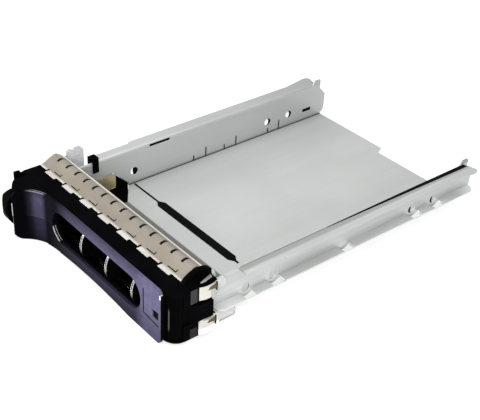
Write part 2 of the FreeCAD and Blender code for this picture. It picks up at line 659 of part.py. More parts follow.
coil_wire = 0.22
coil_len = spring_x - stem_x - 2 * coil_wire - 0.1
button_coil = coil(1.5, coil_wire, 0.95, coil_len)
button_coil.rotate(V(0, 0, 0), V(0, 1, 0), 90)
button_coil.translate(V(stem_x + coil_wire + 0.05, spring_y, pad_mid_z))
pieces["button_spring"] = button_coil
lever_coil = coil(spring_r - 0.4, spring_wire, 0.95, pocket_h - 1.2)
lever_coil.translate(V(pin_x, pin_y, arm_low + 0.45))
pieces["lever_spring"] = lever_coil

# Contact strip: one arched sheet, slit into fingers, with small feet on the bezel.
strip_rear = bezel_rear + 0.05


def strip_line(off):
    return [
        (strip_foot_y - 0.2 + off * 0.3, bezel_top + off), (strip_foot_y + 0.9, bezel_top + off),
        (strip_peak_y - 0.9, strip_peak_z - strip_t + off - 0.4),
        (strip_peak_y + 0.7, strip_peak_z - strip_t + off - 0.35),
        (strip_rear + off, bezel_top + 0.4), (strip_rear + off, bezel_top - 5.3),
    ]


arched = outline_solid(strip_line(strip_t) + strip_line(0.0)[::-1], "x", strip_left, strip_long)
foot_out = 1.7
slits = []
feet = []


def slit(x0, x1, y0, y1):
    # An opening through the sheet, seen from above.
    return box(x0, x1, y0, y1, bezel_top - 1, strip_peak_z + 1)


for i in range(int((strip_long - strip_end) / finger_pitch) + 1):
    x = strip_right - strip_end - i * finger_pitch
    slits.append(slit(x - slit_w / 2, x + slit_w / 2, strip_peak_y - 2.0, strip_peak_y + 2.0))
    if i % 2 == 1:
        # Each second finger has a foot, a notch beside it and an L shaped slit above it.
        foot_x = x + 1.1
        feet.append(box(foot_x, foot_x + foot_w, strip_foot_y - foot_out, strip_foot_y + 0.3, bezel_top,
                        bezel_top + strip_t))
        slits.append(slit(x - 0.2, x + 1.3, strip_foot_y - 1, strip_foot_y + 1.1))
        slits.append(slit(x + 3.8, x + 9.4, strip_foot_y + 1.3, strip_foot_y + 1.8))
        slits.append(slit(x + 8.9, x + 9.5, strip_foot_y + 1.3, strip_foot_y + 2.8))
arched = arched.cut(slits)
pieces["contact_strip"] = arched.fuse(feet).removeSplitter()


def side_clip(z0, z1):
    # Flat arched spring clip on the right cheek, with a hook over its rear edge.
    t = 0.3
    y0 = bezel_rear - 9.0
    y1 = bezel_rear - 0.2
    y_mid = (y0 + y1) / 2
    bow = 0.9
    hook_end = y1 + 1.6
    return outline_solid([
        (cheek_x, y0), (cheek_x + t, y0), (cheek_x + t + bow, y_mid, cheek_x + t, y1),
        (cheek_x + t, hook_end), (cheek_x, hook_end), (cheek_x, y1), (cheek_x + bow, y_mid, cheek_x, y0),
    ], "z", z0, z1 - z0)


clip_spans = {"upper": (tooth_z1 + 1.6, bezel_top - 0.6), "lower": (inner_low, tooth_z0 - 1.2)}
for level, (z0, z1) in clip_spans.items():
    right_clip = side_clip(z0, z1)
    pieces["clip_right_" + level] = right_clip
    # The left cheek carries the same clip, at its own distance from mid bay.
    left_clip = mirrored(right_clip)
    left_clip.translate(V(cheek_x + bezel_left, 0, 0))
    pieces["clip_left_" + level] = left_clip

# Two lobed guide tongue behind the strip at the left.
tongue_y = bezel_rear + 0.6
tongue_top_z = bezel_top + 3.6
pieces["guide_tongue"] = outline_solid([
    (tongue_y, 10.0), (tongue_y + 9.2, 10.0), (tongue_y + 9.2, tongue_top_z - 3.8),
    (tongue_y + 8.2, tongue_top_z - 0.8, tongue_y + 5.6, tongue_top_z),
    (tongue_y + 4.2, tongue_top_z - 0.1, tongue_y + 3.4, tongue_top_z - 1.0),
    (tongue_y + 1.8, tongue_top_z - 0.1, tongue_y, tongue_top_z - 0.8),
], "x", tongue_x, tongue_t)

# Clear light pipe that ends as a flat round tongue at the lower right.
pipe_t = 1.4
pipe_half = 3.4
pipe_x = bay_half - 0.6
pipe_z = bezel_low + 0.2
pipe_end = bezel_rear + 14.6
pieces["light_pipe"] = outline_solid([
    (pipe_x - pipe_half, bezel_rear), (pipe_x + pipe_half, bezel_rear),
    (pipe_x + pipe_half, pipe_end - pipe_half), (pipe_x, pipe_end, pipe_x - pipe_half, pipe_end - pipe_half),
], "z", pipe_z, pipe_t)

# Everything is moved so that Z 0 is the underside of the bezel and Y 0 the line of the lever pin.
for name, shape in pieces.items():
    shape = shape.copy()
    shape.translate(V(0, -pin_y, -bezel_low))
    if len(shape.Solids) == 1:
        shape = shape.Solids[0]
    shape.exportStep("parts/" + name + ".step")
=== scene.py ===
import json
import math

import bpy
from mathutils import Matrix, Vector


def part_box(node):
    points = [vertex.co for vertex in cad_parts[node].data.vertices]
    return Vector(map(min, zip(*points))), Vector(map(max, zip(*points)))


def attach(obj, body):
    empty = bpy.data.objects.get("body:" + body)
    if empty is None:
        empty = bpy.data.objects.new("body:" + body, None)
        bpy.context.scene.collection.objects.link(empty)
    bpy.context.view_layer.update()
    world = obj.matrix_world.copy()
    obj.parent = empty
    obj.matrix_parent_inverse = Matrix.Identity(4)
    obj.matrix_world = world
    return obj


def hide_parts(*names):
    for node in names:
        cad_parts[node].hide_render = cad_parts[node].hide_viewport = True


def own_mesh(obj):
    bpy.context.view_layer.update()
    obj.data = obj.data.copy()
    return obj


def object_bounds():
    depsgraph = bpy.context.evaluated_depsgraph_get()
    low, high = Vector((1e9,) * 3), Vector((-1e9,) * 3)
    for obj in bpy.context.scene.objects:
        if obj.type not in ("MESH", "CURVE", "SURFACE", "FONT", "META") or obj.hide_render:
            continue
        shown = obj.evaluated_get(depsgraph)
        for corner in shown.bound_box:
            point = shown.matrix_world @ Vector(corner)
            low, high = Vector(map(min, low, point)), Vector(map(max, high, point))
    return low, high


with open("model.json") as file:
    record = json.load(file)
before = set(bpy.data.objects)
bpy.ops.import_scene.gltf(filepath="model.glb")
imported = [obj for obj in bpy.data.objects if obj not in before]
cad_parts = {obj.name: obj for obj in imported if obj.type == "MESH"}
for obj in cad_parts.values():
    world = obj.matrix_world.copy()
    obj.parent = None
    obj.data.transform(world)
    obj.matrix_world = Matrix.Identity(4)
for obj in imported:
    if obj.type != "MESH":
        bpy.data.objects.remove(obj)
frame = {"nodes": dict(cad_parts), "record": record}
cad_low, cad_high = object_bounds()
nodes = frame["nodes"]
record = frame["record"]

MM = 0.001

# The camera that was fitted to the photograph, in the frame of the part.
CAMERA_PLACE_MM = (301.7, -187.9, 270.6)
CAMERA_YAW = 50.84
CAMERA_PITCH = 34.07
CAMERA_ROLL = 1.91
CAMERA_LENS_MM = 75.65
SENSOR_MM = 36
IMAGE_WIDE = 480
IMAGE_HIGH = 420
CENTRE_X = 212
CENTRE_Y = 217


def make_camera():
    yaw, pitch, roll = (math.radians(a) for a in (CAMERA_YAW, CAMERA_PITCH, CAMERA_ROLL))
    ahead = Vector((-math.sin(yaw) * math.cos(pitch), math.cos(yaw) * math.cos(pitch), -math.sin(pitch)))
    right = Vector((math.cos(yaw), math.sin(yaw), 0))
    up = right.cross(ahead)
    across = right * math.cos(roll) + up * math.sin(roll)
    upright = up * math.cos(roll) - right * math.sin(roll)
    data = bpy.data.cameras.new("camera")
    data.lens = CAMERA_LENS_MM
    data.sensor_width = SENSOR_MM
    data.shift_x = (IMAGE_WIDE / 2 - CENTRE_X) / IMAGE_WIDE
    data.shift_y = (CENTRE_Y - IMAGE_HIGH / 2) / IMAGE_WIDE
    data.clip_start = 0.01
    data.clip_end = 50
    camera = bpy.data.objects.new("camera", data)
    bpy.context.scene.collection.objects.link(camera)
    turn = Matrix((across, upright, -ahead)).transposed().to_4x4()
    camera.matrix_world = Matrix.Translation(Vector(CAMERA_PLACE_MM) * MM) @ turn
    bpy.context.scene.camera = camera


# Places on the part, in metres.
TRAY_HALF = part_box("right_rail")[0][0]
FLOOR_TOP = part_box("tray_floor")[1][2]
FRONT_HOLE_Y = 49.5 * MM
HOLE_R = 2.1 * MM
STRIP_PEAK_Y = 10.1 * MM
SLIT_PITCH = 7.37 * MM

# Colours, as red, green and blue shares of light.
ZINC = (0.58, 0.595, 0.585)
BLACK = (0.0012, 0.0012, 0.0014)
WHITE = (1, 1, 1)

# A painted patch fades over this distance on each side of its edge.
FADE = 0.15 * MM

# The colour sockets of a mix node, by number, because its sockets share their names.
MIX_FIRST = 6
MIX_SECOND = 7
MIX_RESULT = 2

# Stretches for grain that runs along Y or X.
GRAIN_Y = (1.0, 0.05, 1.0)
GRAIN_X = (0.08, 1, 1)


def grey(value):
    return (value, value, value)


def shade(colour, share):
    return tuple(min(1.0, c * share) for c in colour)


# Materials. Texture coordinates are the object's own, which are metres in the frame of the part.
def add(tree, kind, **values):
    """A shader node, with its settings and the defaults of its sockets."""
    made = tree.nodes.new(kind)
    for key, value in values.items():
        name = key.replace("_", " ")
        found = next((s for s in made.inputs if s.name.lower() == name.lower()), None)
        if hasattr(made, key):
            setattr(made, key, value)
        elif found is not None:
            found.default_value = value
    return made


class Finish:
    """A material under construction: one principled shader and the textures that feed it."""

    def __init__(self, name, colour, rough, **values):
        self.material = bpy.data.materials.new(name)
        self.material.use_nodes = True
        self.tree = self.material.node_tree
        self.shader = self.tree.nodes["Principled BSDF"]
        self.set("Base Color", (*colour, 1))
        self.set("Roughness", rough)
        for key, value in values.items():
            self.set(key.replace("_", " "), value)
        self.place = add(self.tree, "ShaderNodeTexCoord").outputs["Object"]
        self.normal = None

    def set(self, socket, value):
        names = {s.name.lower(): s for s in self.shader.inputs}
        names[socket.lower()].default_value = value

    def link(self, a, b):
        self.tree.links.new(a, b)

    def colour_from(self, socket):
        self.link(socket, self.shader.inputs["Base Color"])

    def rough_from(self, socket):
        self.link(socket, self.shader.inputs["Roughness"])

    def noise(self, scale, detail=3, stretch=(1, 1, 1)):
        mapping = add(self.tree, "ShaderNodeMapping")
        mapping.inputs["Scale"].default_value = stretch
        self.link(self.place, mapping.inputs["Vector"])
        noise = add(self.tree, "ShaderNodeTexNoise", Scale=scale, Detail=detail)
        self.link(mapping.outputs["Vector"], noise.inputs["Vector"])
        return noise.outputs["Fac"]

    def cells(self, scale):
        cells = add(self.tree, "ShaderNodeTexVoronoi", feature="F1", Scale=scale)
        self.link(self.place, cells.inputs["Vector"])
        return cells.outputs["Distance"]

    def along(self, axis):
        """The place along X, Y or Z, in metres."""
        split = add(self.tree, "ShaderNodeSeparateXYZ")
        self.link(self.place, split.inputs["Vector"])
        return split.outputs[axis]

    def spread(self, fac, low, high, from_low=0.3, from_high=0.7, clamp=True):
        """A value between from_low and from_high, brought to between low and high."""
        ranged = add(self.tree, "ShaderNodeMapRange", clamp=clamp)
        ranged.inputs["From Min"].default_value = from_low
        ranged.inputs["From Max"].default_value = from_high
        ranged.inputs["To Min"].default_value = low
        ranged.inputs["To Max"].default_value = high
        self.link(fac, ranged.inputs["Value"])
        return ranged.outputs["Result"]

    def share(self, axis, low, high, clamp=True):
        """The share of the way from low to high along an axis."""
        return self.spread(self.along(axis), 0, 1, low, high, clamp)

    def after(self, axis, place, fade=FADE):
        """1 where the place along the axis lies beyond a plane, else 0."""
        return self.share(axis, place - fade, place + fade)

    def before(self, axis, place, fade=FADE):
        return self.spread(self.along(axis), 1, 0, place - fade, place + fade)

    def within(self, axis, low, high, fade_low=FADE, fade_high=FADE):
        """1 between two planes, else 0."""
        return self.product(self.after(axis, low, fade_low), self.before(axis, high, fade_high))

    def product(self, result, *factors):
        for factor in factors:
            times = add(self.tree, "ShaderNodeMath", operation="MULTIPLY")
            self.link(result, times.inputs[0])
            self.link(factor, times.inputs[1])
            result = times.outputs["Value"]
        return result

    def ramp(self, fac, stops):
        """A colour ramp with stops of (place, colour)."""
        ramp = add(self.tree, "ShaderNodeValToRGB")
        elements = ramp.color_ramp.elements
        while len(elements) < len(stops):
            elements.new(0.5)
        for element, (place, colour) in zip(elements, stops):
            element.position = place
            element.color = (*colour, 1)
        self.link(fac, ramp.inputs["Fac"])
        return ramp.outputs["Color"]

    def blend_colour(self, fac, low, high):
        return self.ramp(fac, [(0.3, low), (0.7, high)])

    def multiply(self, one, other):
        mix = add(self.tree, "ShaderNodeMix", data_type="RGBA", blend_type="MULTIPLY")
        mix.inputs["Factor"].default_value = 1
        self.link(one, mix.inputs[MIX_FIRST])
        self.link(other, mix.inputs[MIX_SECOND])
        return mix.outputs[MIX_RESULT]

    def over(self, fac, below, colour):
        """A colour laid over another one, where fac is 1."""
        mix = add(self.tree, "ShaderNodeMix", data_type="RGBA")
        self.link(fac, mix.inputs["Factor"])
        self.link(below, mix.inputs[MIX_FIRST])
        mix.inputs[MIX_SECOND].default_value = (*colour, 1)
        return mix.outputs[MIX_RESULT]

    def rounded_normal(self, radius):
        bevel = add(self.tree, "ShaderNodeBevel", samples=6)
        bevel.inputs["Radius"].default_value = radius
        return bevel.outputs["Normal"]

    def edges(self, radius):
        """1 along the edges, 0 on the flats: where the rounded normal leaves the real one."""
        geometry = add(self.tree, "ShaderNodeNewGeometry")
        dot = add(self.tree, "ShaderNodeVectorMath", operation="DOT_PRODUCT")
        self.link(self.rounded_normal(radius), dot.inputs[0])
        self.link(geometry.outputs["Normal"], dot.inputs[1])
        return self.spread(dot.outputs["Value"], 1, 0, from_low=0.8, from_high=0.99)

    def soft_edges(self, radius):
        self.normal = self.rounded_normal(radius)

    def bump(self, fac, height):
        bump = add(self.tree, "ShaderNodeBump", Strength=1.0, Distance=height)
        self.link(fac, bump.inputs["Height"])
        if self.normal is not None:
            self.link(self.normal, bump.inputs["Normal"])
        self.normal = bump.outputs["Normal"]

    def done(self):
        if self.normal is not None:
            self.link(self.normal, self.shader.inputs["Normal"])
        return self.material


def rail_painted_shade(f, colour, shade_bands, rear_painted_light):
    """Painted light and shade over a rail's height, a band of painted shade on the right rail's top flange
    and painted shade on the rear lip.

    The bands start with the rail's bottom and top, and go on with shares of that height and their painted
    tones."""
    bottom, top = shade_bands[0]
    flange_level = top - 3.4 * MM
    lip_level = top - 1.7 * MM
    band_start = TRAY_HALF + 1.3 * MM
    band_end = TRAY_HALF + 4.2 * MM
    tones = [(at, grey(tone)) for at, tone in shade_bands[1:]]
    colour = f.multiply(colour, f.ramp(f.share("Z", bottom, top), tones))
    inner = f.within("X", band_start, band_end, fade_high=0.6 * MM)
    colour = f.over(f.product(f.after("Z", flange_level), inner), colour, shade(ZINC, 0.66 * rear_painted_light))
    return f.over(f.product(f.after("X", 0), f.after("Z", lip_level)), colour, shade(ZINC, 0.45))


def floor_shade_and_seams(f, colour):
    """The floor's painted shade beside the left wall and painted shadow behind the strip, and its dark seams
    at both walls.
    """
    strip_shadow_end = 36.8 * MM
    seam_left = 1.15 * MM - TRAY_HALF
    seam_right = TRAY_HALF - 0.5 * MM
    wall_shade = f.ramp(f.share("X", -TRAY_HALF, 0), [(0.0, grey(0.86)), (0.6, WHITE)])
    colour = f.multiply(colour, wall_shade)
    colour = f.over(f.before("Y", strip_shadow_end, 0.3 * MM), colour, (0.17, 0.17, 0.15))
    colour = f.over(f.before("X", seam_left, 0.35 * MM), colour, (0.06, 0.06, 0.055))
    return f.over(f.after("X", seam_right, 0.3 * MM), colour, (0.10, 0.10, 0.095))


def zinc_sheet(name, rear_painted_light=1.0, front_painted_light=1.0, shade_and_seams=False, shade_bands=None, streaks=1.0):
    """Zinc plated sheet: fine lengthwise grain, faint clouds, rubbed edges.

    The shares are painted light and shade at the rear and the front, and streaks is the depth of the grain."""
    f = Finish(name, ZINC, rough=0.45, Metallic=0.35)
    f.soft_edges(radius=0.3 * MM)
    cloud = f.noise(scale=22)
    streak = f.noise(scale=420, stretch=GRAIN_Y)
    colour = f.blend_colour(cloud, shade(ZINC, 0.97), shade(ZINC, 1.03))
    colour = f.multiply(colour, f.blend_colour(streak, grey(1 - 0.035 * streaks), WHITE))
    # Painted light and shade along the length: lighter or darker towards the rear and the front.
    lengthwise_painted_light = [(0.25, grey(front_painted_light)), (0.95, grey(rear_painted_light))]
    colour = f.multiply(colour, f.ramp(f.share("Y", 0, cad_high[1]), lengthwise_painted_light))
    if shade_bands:
        colour = rail_painted_shade(f, colour, shade_bands, rear_painted_light)
    # The floor's painted shade and shadow, and its dark seams.
    if shade_and_seams:
        colour = floor_shade_and_seams(f, colour)
    f.colour_from(f.over(f.edges(radius=0.25 * MM), colour, shade(ZINC, 1.2)))
    f.rough_from(f.spread(cloud, low=0.40, high=0.52))
    f.bump(f.noise(scale=900, detail=2, stretch=(1.0, 0.06, 1.0)), height=0.005 * MM)
    f.bump(f.cells(scale=160), height=0.008 * MM)
    return f.done()


def black_plastic(name="black_plastic", specular=0.004, rough=0.34, edge_wear_and_glint=0.012, paint=None):
    """Moulded black plastic: fine eggshell grain, and greyed edges that are partly rubbing wear and partly
    painted highlight. paint(f, colour) adds to it.
    """
    f = Finish(name, BLACK, rough)
    f.set("Specular IOR Level", specular)
    f.soft_edges(radius=0.3 * MM)
    colour = f.blend_colour(f.noise(scale=70), BLACK, shade(BLACK, 2.2))
    # Greyed edges: rubbing wear and a painted highlight.
    colour = f.over(f.edges(radius=0.2 * MM), colour, (edge_wear_and_glint, edge_wear_and_glint, edge_wear_and_glint * 1.08))
    if paint:
        colour = paint(f, colour)
    f.colour_from(colour)
    f.rough_from(f.spread(f.noise(scale=120, detail=4), rough * 0.85, rough * 1.15))
    f.bump(f.noise(scale=2600, detail=2), height=0.005 * MM)
    return f.done()


def bezel_paint(f, colour):
    """Zinc on the rivet's ear at the right, and painted light: grey patches on the right cheek and a painted
    grey highlight on the catch at the left.
    """
    ear_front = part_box("right_rail")[0][1] - 0.75 * MM
    ear_side = TRAY_HALF + 0.3 * MM
    cheek_side = 55 * MM
    cheek_y = (2.0 * MM, 5.4 * MM)
    upper_patch_z = (18.8 * MM, 25.6 * MM)
    lower_patch_top = 6.0 * MM
    catch_side = cad_low[0] + 1.4 * MM
    catch_z = (14 * MM, cad_high[2] - 3.5 * MM)
    colour = f.over(f.product(f.after("Y", ear_front), f.after("X", ear_side)), colour, ZINC)
    # Painted light on the right cheek's faces, an upper and a lower patch.
    cheek = f.product(f.after("X", cheek_side), f.within("Y", *cheek_y))
    colour = f.over(f.product(cheek, f.within("Z", *upper_patch_z)), colour, (0.05, 0.05, 0.056))
    colour = f.over(f.product(cheek, f.before("Z", lower_patch_top)), colour, (0.03, 0.027, 0.027))
    # A painted grey highlight on the catch's face.
    catch = f.product(f.before("X", catch_side), f.within("Z", *catch_z))
    return f.over(catch, colour, (0.21, 0.21, 0.20))


def fin_highlight_paint(f, colour):
    """Painted white highlights on the front edges of the fins, on their upper half."""
    low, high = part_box("vent_grille")
    highlight_foot = low[2] + (high[2] - low[2]) * 0.45
    highlight_depth = 2.5 * MM
    upper = f.after("Z", highlight_foot, 0.8 * MM)
    highlight = f.product(f.edges(radius=0.8 * MM), upper, f.before("Y", low[1] + highlight_depth))
    return f.over(highlight, colour, WHITE)


def button_highlight_paint(f, colour):
    """One faint upright painted highlight on the dome."""
    low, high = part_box("release_button")
    line = f.within("X", low[0] + 0.5 * MM, low[0] + 0.95 * MM)
    line_foot = low[2] + (high[2] - low[2]) * 0.35
    return f.over(f.product(line, f.after("Z", line_foot)), colour, grey(0.06))


def rib_highlight_paint(f, colour):
    """A painted grey highlight on part of the barrel's rib."""
    highlight = f.within("Z", 7 * MM, 17 * MM, fade_low=MM, fade_high=MM)
    return f.over(highlight, colour, grey(0.10))


# The purple face's painted light and shade: a painted highlight in the finger hollow, a dark band past it,
# paler towards the right end and the top, darker at the foot, and a bright painted line at mid height; black
# at the far left is the grip's shell. Places along X are in millimetres, those over the height are shares of
# it.
FACE_HOLLOW_HIGHLIGHT = (0.66, 0.62, 0.98)
FACE_LIGHT_BY_LENGTH = [
    (-43.8, grey(0)), (-42.0, (0.16, 0.14, 0.26)), (-40.2, FACE_HOLLOW_HIGHLIGHT), (-37.2, FACE_HOLLOW_HIGHLIGHT),
    (-35.8, (0.30, 0.27, 0.5)), (-34.8, grey(0.05)), (-27.0, grey(0.04)), (-17.0, grey(0.5)),
    (0.0, grey(0.85)), (30.0, WHITE),
]
FACE_LIGHT_BY_HEIGHT = [
    (0.0, grey(0.14)), (0.25, grey(0.30)), (0.485, grey(0.27)), (0.50, grey(0.8)), (0.52, grey(0.5)),
    (0.86, grey(0.62)), (0.95, grey(0.45)),
]
FACE_FOOT_SHADE = [(0.0, grey(0.5)), (0.3, grey(0.7)), (0.5, WHITE)]
FACE_END_LIGHT = [(34.0, grey(0)), (40.0, WHITE)]
FACE_END_LIGHT_TONE = grey(0.78)
FACE_DARK = (0.0016, 0.0013, 0.003)
FACE_PURPLE = (0.165, 0.152, 0.265)


def face_light_and_shade(f, low, high):
    """How purple the face is at each place, over its length and height: mostly painted light and shade."""
    length = f.share("X", low[0], high[0])
    height = f.share("Z", low[2], high[2])

    def over_length(stops):
        return f.ramp(length, [((x * MM - low[0]) / (high[0] - low[0]), tone) for x, tone in stops])

    light_by_length = over_length(FACE_LIGHT_BY_LENGTH)
    light_by_height = f.over(over_length(FACE_END_LIGHT), f.ramp(height, FACE_LIGHT_BY_HEIGHT), FACE_END_LIGHT_TONE)
    return f.multiply(light_by_length, f.multiply(light_by_height, f.ramp(height, FACE_FOOT_SHADE)))


def face_highlights(f, colour, low, high):
    """Painted highlights: the pale vent rim, the grip's top rim, the line on the grip's crest and a glint at
    the end.
    """
    vent_rim_x = (-30.6 * MM, -25.5 * MM)
    vent_rim_top = low[2] + (high[2] - low[2]) * 0.62
    top_rim_x = (-42.5 * MM, -35.6 * MM)
    top_rim_foot = high[2] - 5.0 * MM
    crest_x = (-47.1 * MM, -46.5 * MM)
    crest_rear = low[1] + 0.35 * MM
    crest_z = (5.5 * MM, 20.0 * MM)
    glint_x = high[0] - 0.7 * MM
    glint_z = (22.9 * MM, 24.9 * MM)
    rim = f.product(f.edges(radius=1.0 * MM), f.within("X", *vent_rim_x), f.before("Z", vent_rim_top))
    colour = f.over(rim, colour, WHITE)
    top_rim = f.product(f.within("X", *top_rim_x, fade_low=1.2 * MM, fade_high=0.6 * MM),
                        f.edges(radius=0.9 * MM), f.after("Z", top_rim_foot))
    colour = f.over(top_rim, colour, (0.42, 0.40, 0.46))
    crest = f.product(f.within("X", *crest_x), f.before("Y", crest_rear), f.within("Z", *crest_z))
    colour = f.over(crest, colour, (0.5, 0.5, 0.52))
    return f.over(f.product(f.after("X", glint_x), f.within("Z", *glint_z)), colour, WHITE)


def purple_plastic():
    """Two toned moulding, black shell round the grip and purple elsewhere, with painted light and shade: a
    painted highlight in the finger hollow and a face made pale by painted reflection.
    """
    low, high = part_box("lever_face")
    f = Finish("purple_plastic", (0.05, 0.04, 0.1), rough=0.3)
    f.set("Specular IOR Level", 0.01)
    f.soft_edges(radius=0.4 * MM)
    dark = f.blend_colour(f.noise(scale=50), BLACK, FACE_DARK)
    colour = face_highlights(f, f.over(face_light_and_shade(f, low, high), dark, FACE_PURPLE), low, high)
    f.colour_from(f.multiply(colour, f.blend_colour(f.noise(scale=420), grey(0.80), WHITE)))
    f.rough_from(f.spread(f.noise(scale=140, detail=4), low=0.23, high=0.34))
    f.bump(f.noise(scale=2400, detail=2), height=0.006 * MM)
    return f.done()


def metal(name, colour, rough, metallic=1.0):
    f = Finish(name, colour, rough, Metallic=metallic)
    f.soft_edges(radius=0.1 * MM)
    cloud = f.noise(scale=90, detail=4)
    f.colour_from(f.blend_colour(cloud, shade(colour, 0.88), shade(colour, 1.1)))
    f.rough_from(f.spread(cloud, rough * 0.8, rough * 1.25))
    f.bump(f.noise(scale=1400, detail=2), height=0.004 * MM)
    return f.done()


def bright_clip(name, level):
    """A bright side clip. Zinc or white shows past its leg, under the arm."""
    low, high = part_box("clip_right_" + level)
    tall = high[2] - low[2]
    f = Finish(name, (0.66, 0.64, 0.58), rough=0.3, Metallic=0.5)
    f.soft_edges(radius=0.1 * MM)
    colour = f.blend_colour(f.noise(scale=90, detail=4), (0.60, 0.58, 0.52), (0.72, 0.70, 0.64))
    if level == "upper":
        zinc_top = low[2] + tall * 0.70
        leg_end = low[1] + 5.2 * MM
        past_leg = f.product(f.before("Z", zinc_top), f.after("Y", leg_end))
        colour = f.over(past_leg, colour, (0.46, 0.47, 0.46))
    else:
        white_top = low[2] + tall * 0.42
        colour = f.over(f.before("Z", white_top, 0.4 * MM), colour, (1, 1, 0.98))
    f.colour_from(colour)
    f.rough_from(f.spread(f.noise(scale=110, detail=4), low=0.24, high=0.38))
    f.bump(f.noise(scale=1400, detail=2), height=0.004 * MM)
    return f.done()


# The strip's tones by depth are painted light and shade on one metal.
GREIGE = (0.335, 0.30, 0.25)
STRIP_REAR_HIGHLIGHT = (1, 0.98, 0.92)
STRIP_LIGHT_BY_DEPTH = [
    (0.0, (0.75, 0.74, 0.70)), (0.13, (0.72, 0.70, 0.65)), (0.19, GREIGE), (0.66, shade(GREIGE, 1.1)),
    (0.84, GREIGE), (0.88, STRIP_REAR_HIGHLIGHT), (0.95, STRIP_REAR_HIGHLIGHT), (0.98, (0.02, 0.02, 0.018)),
]


def nickel_strip():
    """Finger strip with painted light and shade: pale feet, greige fingers, painted shade at the slit edges,
    a painted highlight along the rear line and painted shade at the rear foot.
    """
    low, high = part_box("contact_strip")
    last_slit = high[0] - 7.75 * MM
    f = Finish("nickel_strip", (0.3, 0.27, 0.23), rough=0.42, Metallic=0.45)
    f.soft_edges(radius=0.12 * MM)
    colour = f.ramp(f.share("Y", low[1], high[1]), STRIP_LIGHT_BY_DEPTH)
    half_pitch = 0.5
    off_slit = add(f.tree, "ShaderNodeMath", operation="PINGPONG")
    off_slit.inputs[1].default_value = half_pitch
    f.link(f.share("X", last_slit, last_slit + SLIT_PITCH, clamp=False), off_slit.inputs[0])
    slit_shade = f.spread(off_slit.outputs["Value"], 1, 0, from_low=0.085, from_high=0.11)
    reach = f.within("Y", STRIP_PEAK_Y - 2.0 * MM, STRIP_PEAK_Y + 1.9 * MM)
    colour = f.over(f.product(slit_shade, reach), colour, (0.03, 0.028, 0.025))
    colour = f.multiply(colour, f.blend_colour(f.noise(scale=45, detail=4), (0.88, 0.87, 0.86), WHITE))
    grain = f.blend_colour(f.noise(scale=1500, detail=2, stretch=GRAIN_X), grey(0.93), WHITE)
    f.colour_from(f.multiply(colour, grain))
    f.rough_from(f.spread(f.noise(scale=90, detail=4), low=0.36, high=0.5))
    f.bump(f.noise(scale=1600, detail=2, stretch=GRAIN_X), height=0.004 * MM)
    return f.done()


def black_print():
    f = Finish("black_print", (0.003, 0.003, 0.0035), rough=0.6)
    f.set("Specular IOR Level", 0.03)
    f.bump(f.noise(scale=1800), height=0.01 * MM)
    f.rough_from(f.spread(f.noise(scale=300, detail=4), low=0.52, high=0.7))
    return f.done()


def clear_plastic(name, colour, rough, see_through):
    f = Finish(name, colour, rough, IOR=1.49)
    f.set("Transmission Weight", see_through)
    f.rough_from(f.spread(f.noise(scale=200), rough * 0.8, rough * 1.3))
    f.bump(f.noise(scale=900, detail=2), height=0.01 * MM)
    return f.done()


materials = {
    "zinc_sheet": zinc_sheet("zinc_sheet"),
    "black_print": black_print(),
    "black_plastic": black_plastic(),
    "purple_plastic": purple_plastic(),
    "spring_steel": metal("spring_steel", (0.50, 0.50, 0.49), rough=0.30),
    "nickel_strip": nickel_strip(),
    "bright_clip": metal("bright_clip", (0.66, 0.64, 0.58), rough=0.28, metallic=0.7),
    "brass_spring": metal("brass_spring", (0.66, 0.55, 0.33), rough=0.34, metallic=0.5),
    "clear_plastic": clear_plastic("clear_plastic", (0.74, 0.75, 0.76), rough=0.25, see_through=0.5),
    "smoked_lens": black_plastic("smoked_lens", specular=0.01, rough=0.3, edge_wear_and_glint=0.002),
}

# A rail's bottom and top, and painted light and shade over its height: the root, the web, the fold and the
# top flange.
rail_low, rail_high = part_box("right_rail")
LEFT_SHADE_BANDS = [(rail_low[2], rail_high[2]), (0.0, 1.0), (0.86, 1.0), (0.88, 0.88), (1.0, 0.88)]
RIGHT_SHADE_BANDS = [
    (rail_low[2], rail_high[2]), (0.0, 1.05), (0.25, 1.12), (0.55, 1.06), (0.75, 0.92), (0.86, 1.0),
    (1.0, 1.0),
]

# Some nodes have their own version of their slot's finish, most of them with painted light and shade: lit
# and shaded copies of the zinc, painted highlights and painted shade.
own_finish = {
    "tray_floor": zinc_sheet("zinc_floor", rear_painted_light=0.90, shade_and_seams=True),
    "left_rail": zinc_sheet("zinc_left", rear_painted_light=0.76, front_painted_light=1.02, shade_bands=LEFT_SHADE_BANDS),
    "right_rail": zinc_sheet("zinc_right", rear_painted_light=0.86, shade_bands=RIGHT_SHADE_BANDS, streaks=4.5),
    "left_runner": zinc_sheet("zinc_left_runner", rear_painted_light=0.85, front_painted_light=0.95),
    "right_runner": zinc_sheet("zinc_right_runner", rear_painted_light=1.35, front_painted_light=1.25, streaks=3),
    "vent_grille": black_plastic("black_fins", specular=0.3, rough=0.16, paint=fin_highlight_paint),
    "release_button": black_plastic("black_button_glint", paint=button_highlight_paint),
    "bezel_frame": black_plastic("black_bezel", paint=bezel_paint),
    "light_pipe": clear_plastic("clear_pipe", (0.97, 0.97, 0.97), rough=0.15, see_through=0.9),
    "clip_right_upper": bright_clip("bright_upper", "upper"),
    "clip_right_lower": bright_clip("bright_lower", "lower"),
}

# Finishes of single small pieces: painted shade along the fold, a painted highlight on the rib and painted
# shade in the clip hollows.
fold_shade_grey = metal("fold_shade_grey", (0.16, 0.16, 0.15), rough=0.6, metallic=0.0)
rib_highlight = black_plastic("rib_highlight", paint=rib_highlight_paint)
hollow_shade = metal("hollow_shade", (0.10, 0.075, 0.03), rough=0.5, metallic=0.3)


def dress_nodes():
    slot_of = {part["node"]: part["material_slot"] for part in record["subparts"]}
    for name, obj in nodes.items():
        obj.data.materials.clear()
        obj.data.materials.append(own_finish.get(name, materials[slot_of[name]]))


